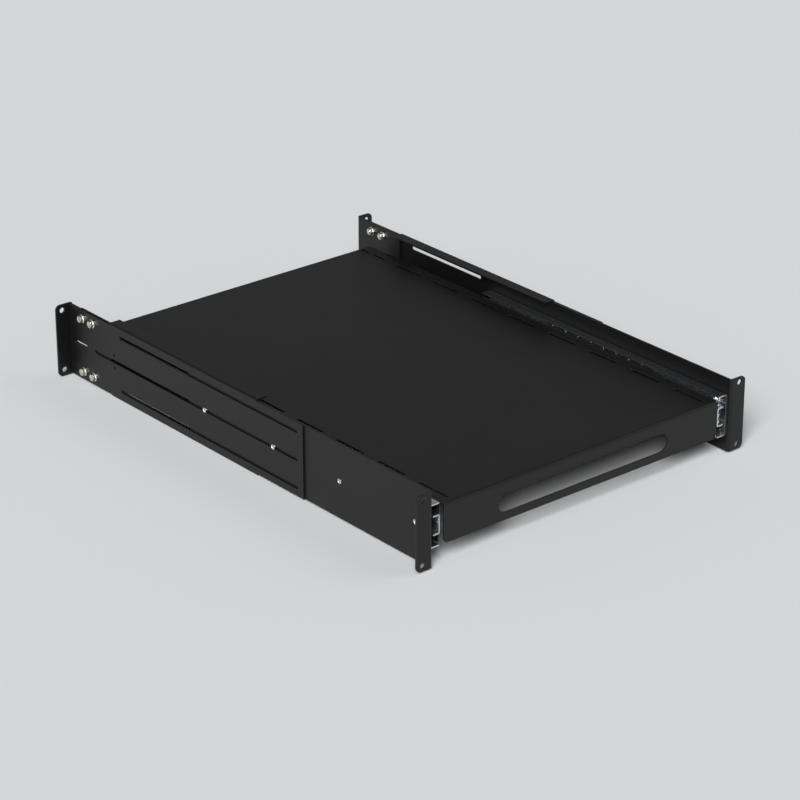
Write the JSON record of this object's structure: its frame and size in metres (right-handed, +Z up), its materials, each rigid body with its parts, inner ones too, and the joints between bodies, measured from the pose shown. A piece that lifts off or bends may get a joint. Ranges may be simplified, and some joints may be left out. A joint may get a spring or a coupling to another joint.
{
  "type": "sliding rack shelf",
  "caption": "Pull-out shelf for a four-post rack: a vented tray with a hand slot on full-extension ball slides, between brackets whose rear ears adjust in depth.",
  "frame": {"origin": "middle of the four front ear holes, on the front face of the front ears", "axes": "+X to the right seen from the front, +Y to the rear along the slides, +Z up"},
  "size_m": [0.4826, 0.6613, 0.0936],
  "materials": {
    "powder_black": "fine-textured matt powder coat",
    "zinc": "zinc-plated, satin",
    "bright_steel": "nickel-plated, bright",
    "cage_steel": "plain sheet",
    "rubber": "matt"
  },
  "bodies": {
    "brackets": {"front_bracket_left": "powder_black", "front_bracket_right": "powder_black", "slide_outer_left": "zinc", "slide_outer_right": "zinc", "slide_screws_left": "bright_steel", "slide_screws_right": "bright_steel", "clamp_screws_left": "bright_steel", "clamp_screws_right": "bright_steel", "slide_stop_left": "rubber", "slide_stop_right": "rubber"},
    "shelf": {"tray": "powder_black", "slide_inner_left": "zinc", "slide_inner_right": "zinc", "tray_screws_left": "bright_steel", "tray_screws_right": "bright_steel", "tray_nuts_left": "bright_steel", "tray_nuts_right": "bright_steel"},
    "middle_left": {"slide_middle_left": "zinc"},
    "outer_row_left": {"outer_cage_left": "cage_steel", "outer_balls_left": "bright_steel"},
    "inner_row_left": {"inner_cage_left": "cage_steel", "inner_balls_left": "bright_steel"},
    "rear_left": {"rear_channel_left": "powder_black", "rear_ear_left": "powder_black", "ear_bolts_left": "bright_steel", "ear_nuts_left": "bright_steel"},
    "middle_right": {"slide_middle_right": "zinc"},
    "outer_row_right": {"outer_cage_right": "cage_steel", "outer_balls_right": "bright_steel"},
    "inner_row_right": {"inner_cage_right": "cage_steel", "inner_balls_right": "bright_steel"},
    "rear_right": {"rear_channel_right": "powder_black", "rear_ear_right": "powder_black", "ear_bolts_right": "bright_steel", "ear_nuts_right": "bright_steel"}
  },
  "joints": [
    {"name": "tray_slide", "type": "slide", "parent": "brackets", "child": "shelf", "axis": [0, -1, 0], "range_m": [0, 0.4]},
    {"name": "middle_left_slide", "type": "slide", "parent": "brackets", "child": "middle_left", "axis": [0, -1, 0], "range_m": [0, 0.201]},
    {"name": "outer_row_left_slide", "type": "slide", "parent": "brackets", "child": "outer_row_left", "axis": [0, -1, 0], "range_m": [0, 0.101]},
    {"name": "inner_row_left_slide", "type": "slide", "parent": "brackets", "child": "inner_row_left", "axis": [0, -1, 0], "range_m": [0, 0.301]},
    {"name": "left_depth", "type": "slide", "parent": "brackets", "child": "rear_left", "axis": [0, 1, 0], "range_m": [-0.057, 0.039]},
    {"name": "middle_right_slide", "type": "slide", "parent": "brackets", "child": "middle_right", "axis": [0, -1, 0], "range_m": [0, 0.201]},
    {"name": "outer_row_right_slide", "type": "slide", "parent": "brackets", "child": "outer_row_right", "axis": [0, -1, 0], "range_m": [0, 0.101]},
    {"name": "inner_row_right_slide", "type": "slide", "parent": "brackets", "child": "inner_row_right", "axis": [0, -1, 0], "range_m": [0, 0.301]},
    {"name": "right_depth", "type": "slide", "parent": "brackets", "child": "rear_right", "axis": [0, 1, 0], "range_m": [-0.057, 0.039]}
  ],
  "couplings": [
    {"joint": "middle_left_slide", "follows": "tray_slide", "ratio": 0.5},
    {"joint": "outer_row_left_slide", "follows": "tray_slide", "ratio": 0.25},
    {"joint": "inner_row_left_slide", "follows": "tray_slide", "ratio": 0.75},
    {"joint": "middle_right_slide", "follows": "tray_slide", "ratio": 0.5},
    {"joint": "outer_row_right_slide", "follows": "tray_slide", "ratio": 0.25},
    {"joint": "inner_row_right_slide", "follows": "tray_slide", "ratio": 0.75}
  ]
}
